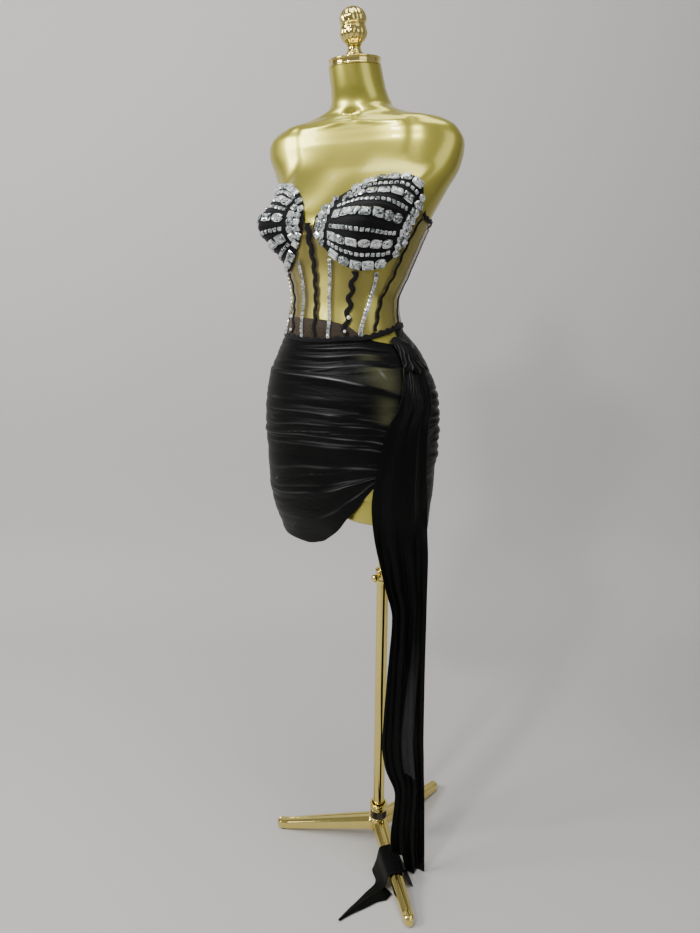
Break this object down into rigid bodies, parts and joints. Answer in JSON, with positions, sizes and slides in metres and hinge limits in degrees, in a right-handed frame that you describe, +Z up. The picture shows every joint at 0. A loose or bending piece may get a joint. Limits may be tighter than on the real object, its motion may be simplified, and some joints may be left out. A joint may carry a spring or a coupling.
{
  "type": "crystal corset and wrap skirt set on dress form",
  "caption": "Strapless mesh corset with stone-covered cups over a ruched wrap skirt with a floor-length train, worn by a limbless dress form on a tripod stand.",
  "frame": {"origin": "on the floor, under the middle of the whole part's box", "axes": "+Z up along the stand, -Y is the front of the form, +X is the form's left side, where the train hangs"},
  "size_m": [0.4588, 0.4472, 1.6708],
  "materials": {
    "form_satin": "satin gold lacquer on a moulded shell",
    "gold_metal": "polished",
    "dark_knurl": "dark diamond knurl",
    "rubber_pad": "matt",
    "skirt_jersey": "thin black foil jersey with a soft grey shine, sheer where it is single",
    "corset_mesh": "see-through tan net",
    "black_trim": "black velvet tape",
    "crystal": "faceted clear stones with foiled backs in silver settings"
  },
  "bodies": {
    "root": {"form_body": "form_satin", "neck_cap": "gold_metal", "finial": "gold_metal", "pole_lower": "gold_metal", "pole_upper": "gold_metal", "clamp_collar": "gold_metal", "clamp_knob": "gold_metal", "thigh_flange": "gold_metal", "hub_ring": "gold_metal", "hub_collar": "gold_metal", "tripod_core": "gold_metal", "leg_1": "gold_metal", "leg_2": "gold_metal", "leg_3": "gold_metal", "hub_knurl": "dark_knurl", "foot_pad_1": "rubber_pad", "foot_pad_2": "rubber_pad", "foot_pad_3": "rubber_pad", "skirt_front": "skirt_jersey", "skirt_back": "skirt_jersey", "hip_gather": "skirt_jersey", "train": "skirt_jersey", "train_tail": "skirt_jersey", "front_left": "corset_mesh", "front_right": "corset_mesh", "side_front_left": "corset_mesh", "side_front_right": "corset_mesh", "side_left": "corset_mesh", "side_right": "corset_mesh", "back_left": "corset_mesh", "back_right": "corset_mesh", "tape_front_left": "black_trim", "tape_front_right": "black_trim", "tape_side_left": "black_trim", "tape_side_right": "black_trim", "tape_back_left": "black_trim", "tape_back_right": "black_trim", "tape_centre_front": "black_trim", "hem_binding": "black_trim", "top_binding_left": "black_trim", "top_binding_right": "black_trim", "back_hook_tape": "black_trim", "cup_left": "crystal", "cup_right": "crystal"}
  },
  "joints": []
}
